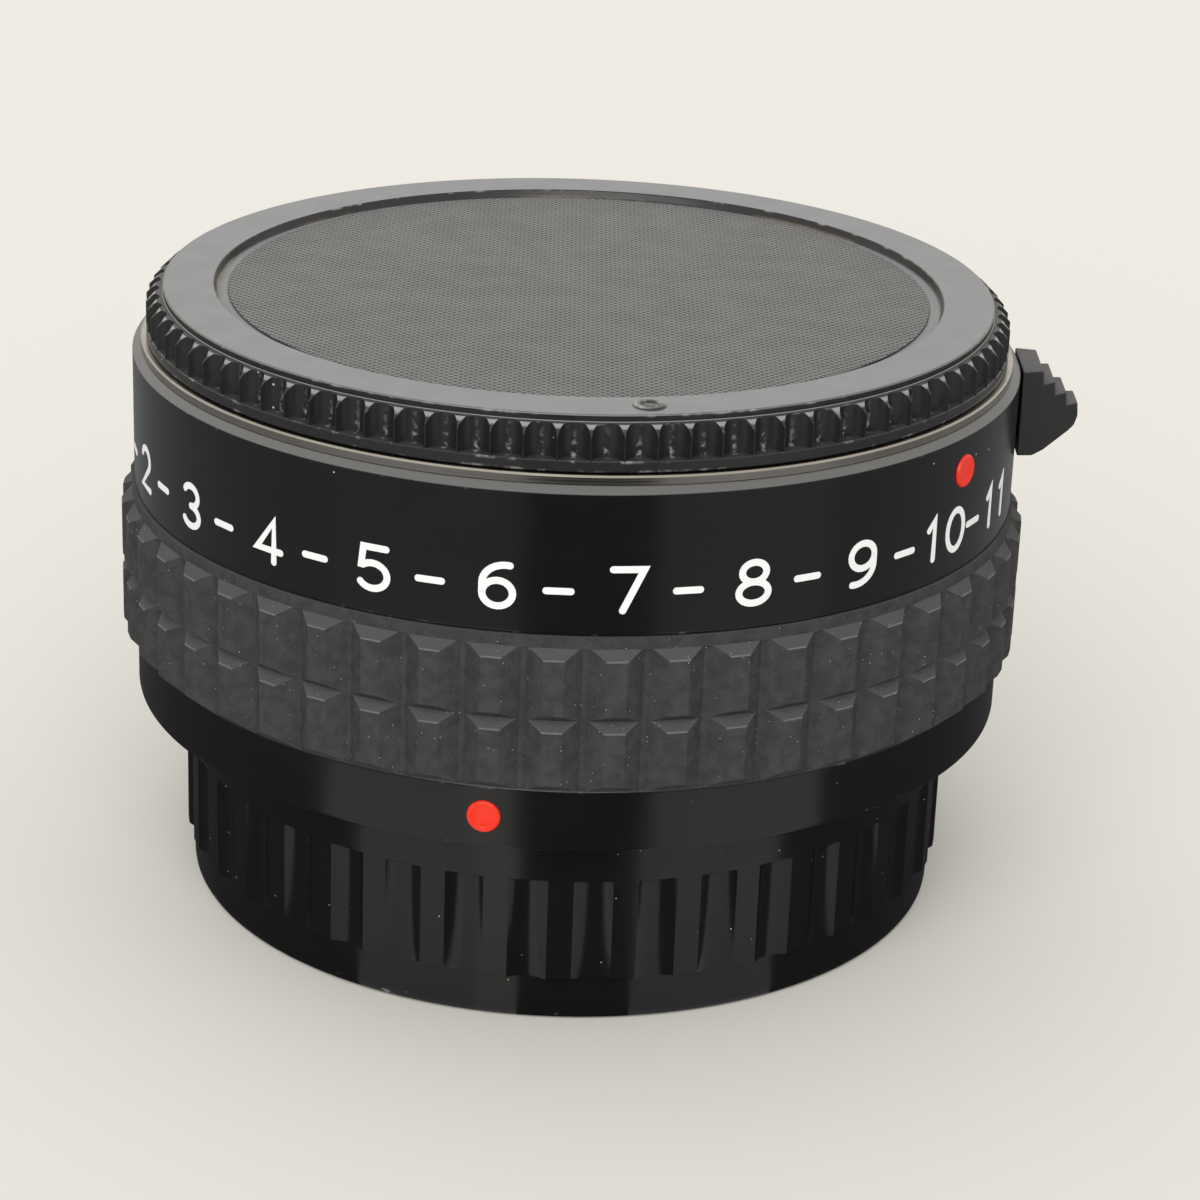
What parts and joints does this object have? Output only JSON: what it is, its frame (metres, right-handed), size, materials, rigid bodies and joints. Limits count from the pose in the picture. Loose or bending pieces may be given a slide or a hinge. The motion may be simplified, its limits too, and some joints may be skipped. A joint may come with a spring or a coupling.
{
  "type": "camera teleconverter",
  "caption": "Short black barrel that goes between a lens and a camera, with a ribbed rubber grip, a side release lever, red index dots and a plastic cap on each end.",
  "frame": {"origin": "centre of the flat face of the rear cap, which the part stands on", "axes": "+Z along the optical axis from the camera side to the lens side, +X towards the release lever"},
  "size_m": [0.0694, 0.066, 0.0449],
  "materials": {
    "front_cap_plastic": "fine moulded texture, dusty",
    "rear_cap_plastic": "polished mould, light scratches",
    "barrel_paint": "gloss black over aluminium",
    "grip_rubber": "matt, dusty",
    "mount_metal": "satin chrome on brass, turned",
    "screw_steel": "plain",
    "spring_steel": "bright",
    "cast_alloy": "black anodised casting",
    "turned_alloy": "black anodised, fine turned",
    "coupling_metal": "satin plated",
    "coated_glass": "green and amber coating",
    "shield_black": "flocked matt black",
    "insulator": "plain",
    "contact_gold": "gold plated",
    "wire_copper": "tinned copper",
    "lever_paint": "satin black, worn edges",
    "dot_red": "domed red enamel"
  },
  "bodies": {
    "rear_cap": {"rear_cap": "rear_cap_plastic"},
    "converter": {"rear_mount_ring": "mount_metal", "rear_mount_screws": "screw_steel", "lower_barrel": "barrel_paint", "rear_index_dot": "dot_red", "rubber_grip": "grip_rubber", "upper_barrel": "barrel_paint", "front_index_dot": "dot_red", "front_mount_ring": "mount_metal", "front_mount_screws": "screw_steel", "bayonet_spring_plate": "spring_steel", "chassis": "cast_alloy", "front_stop_pin": "screw_steel", "ring_keeper": "turned_alloy", "keeper_screws": "screw_steel", "spring_posts": "screw_steel", "lens_barrel": "turned_alloy", "front_element": "coated_glass", "second_element": "coated_glass", "third_element": "coated_glass", "rear_element": "coated_glass", "front_retaining_ring": "turned_alloy", "middle_retaining_ring": "turned_alloy", "spacer_ring": "turned_alloy", "rear_retaining_ring": "turned_alloy", "rear_baffle": "shield_black", "light_shield": "shield_black", "front_contact_block": "insulator", "contact_springs": "contact_gold", "rear_contact_block": "insulator", "rear_contacts": "contact_gold", "contact_wires": "wire_copper", "release_spring": "spring_steel", "aperture_spring": "spring_steel", "diaphragm_spring": "spring_steel"},
    "front_cap": {"front_cap": "front_cap_plastic"},
    "release": {"release_lever": "lever_paint", "release_slider": "coupling_metal", "lock_pin": "screw_steel", "lever_cross_pin": "screw_steel"},
    "diaphragm_coupling": {"diaphragm_ring": "turned_alloy", "diaphragm_front_lever": "coupling_metal", "diaphragm_rear_lever": "coupling_metal"},
    "aperture_coupling": {"aperture_ring": "turned_alloy", "aperture_front_tab": "coupling_metal", "aperture_rear_tab": "coupling_metal"},
    "contact_pins": {"contact_pins": "contact_gold"}
  },
  "joints": [
    {"name": "converter_turn", "type": "hinge", "parent": "rear_cap", "child": "converter", "pos_m": [0, 0, 0.01445], "axis": [0, 0, 1], "range_deg": [0, 65.5]},
    {"name": "front_cap_pull", "type": "slide", "parent": "converter", "child": "front_cap", "axis": [0, 0, 1], "range_m": [0, 0.025]},
    {"name": "release_slide", "type": "slide", "parent": "converter", "child": "release", "axis": [0, 0, -1], "range_m": [0, 0.0016], "stiffness_N_per_m": 600, "springref_m": -0.002, "deforming": ["release_spring"]},
    {"name": "diaphragm_turn", "type": "hinge", "parent": "converter", "child": "diaphragm_coupling", "pos_m": [0, 0, 0.0304], "axis": [0, 0, 1], "range_deg": [0, 18], "stiffness_Nm_per_rad": 0.02, "springref_deg": -17.19, "deforming": ["diaphragm_spring"]},
    {"name": "aperture_turn", "type": "hinge", "parent": "converter", "child": "aperture_coupling", "pos_m": [0, 0, 0.0304], "axis": [0, 0, 1], "range_deg": [0, 45], "stiffness_Nm_per_rad": 0.015, "springref_deg": -22.92, "deforming": ["aperture_spring"]},
    {"name": "contact_pin_press", "type": "slide", "parent": "converter", "child": "contact_pins", "axis": [0, 0, -1], "range_m": [0, 0.0005], "stiffness_N_per_m": 400, "springref_m": -0.0005, "deforming": ["contact_springs"]}
  ]
}
